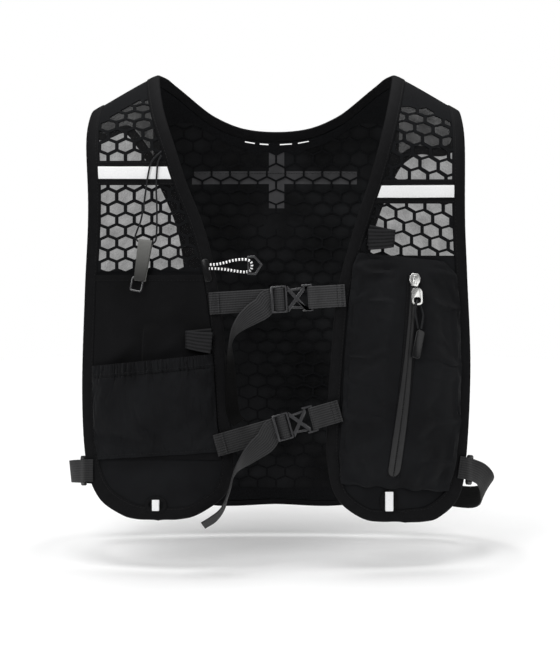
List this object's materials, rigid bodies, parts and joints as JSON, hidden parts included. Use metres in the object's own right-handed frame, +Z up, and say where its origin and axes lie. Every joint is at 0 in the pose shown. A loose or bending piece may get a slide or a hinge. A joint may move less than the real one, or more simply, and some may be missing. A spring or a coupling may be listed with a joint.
{
  "type": "sports vest",
  "caption": "Open-sided running vest of dark cloth with honeycomb net shoulders, gathered and zipped front pockets, buckled chest straps and adjustable side straps.",
  "frame": {"origin": "midway between the shoulder ridges, at the height of the neck points, where the vest sits on the shoulders", "axes": "+Z up; -Y is the wearer's front; +X is to the right as seen from the front"},
  "size_m": [0.3854, 0.1895, 0.41],
  "materials": {
    "cloth": "dark fine woven cloth, matt",
    "net": "dark honeycomb net with sheer cells",
    "tape": "dark ribbed tape",
    "bright": "bright reflective tape",
    "webbing": "dark grey ribbed webbing",
    "plastic": "black moulded plastic, satin",
    "metal": "bright metal",
    "cord": "thin dark braided cord",
    "speckled": "speckled elastic cord, dark and light"
  },
  "bodies": {
    "root": {"left_front_panel": "cloth", "right_front_panel": "cloth", "back_panel": "cloth", "upper_pocket": "cloth", "lower_pocket": "cloth", "zip_pocket": "cloth", "left_net": "net", "right_net": "net", "neck_binding": "tape", "left_side_binding": "tape", "right_side_binding": "tape", "left_ribbon": "tape", "right_ribbon": "tape", "back_tape_across": "tape", "back_tape_down": "tape", "zip_tape": "tape", "left_elastic_loop": "tape", "right_elastic_loop": "tape", "left_bright_strip": "bright", "right_bright_strip": "bright", "left_bright_tab": "bright", "right_bright_tab": "bright", "upper_strap_left": "webbing", "upper_strap_right": "webbing", "lower_strap_left": "webbing", "lower_strap_right": "webbing", "left_side_strap": "webbing", "right_side_strap": "webbing", "shoulder_tab": "webbing", "bungee_tab": "webbing", "upper_buckle_frame": "plastic", "upper_buckle_cross": "plastic", "lower_buckle_frame": "plastic", "lower_buckle_cross": "plastic", "left_side_slider": "plastic", "right_side_slider": "plastic", "shoulder_ring": "plastic", "bungee_hook": "plastic", "zip_grip": "plastic", "zip_slider": "metal", "zip_pull": "metal", "shoulder_cord": "cord", "zip_cord": "cord", "bungee_cord": "speckled"}
  },
  "joints": []
}
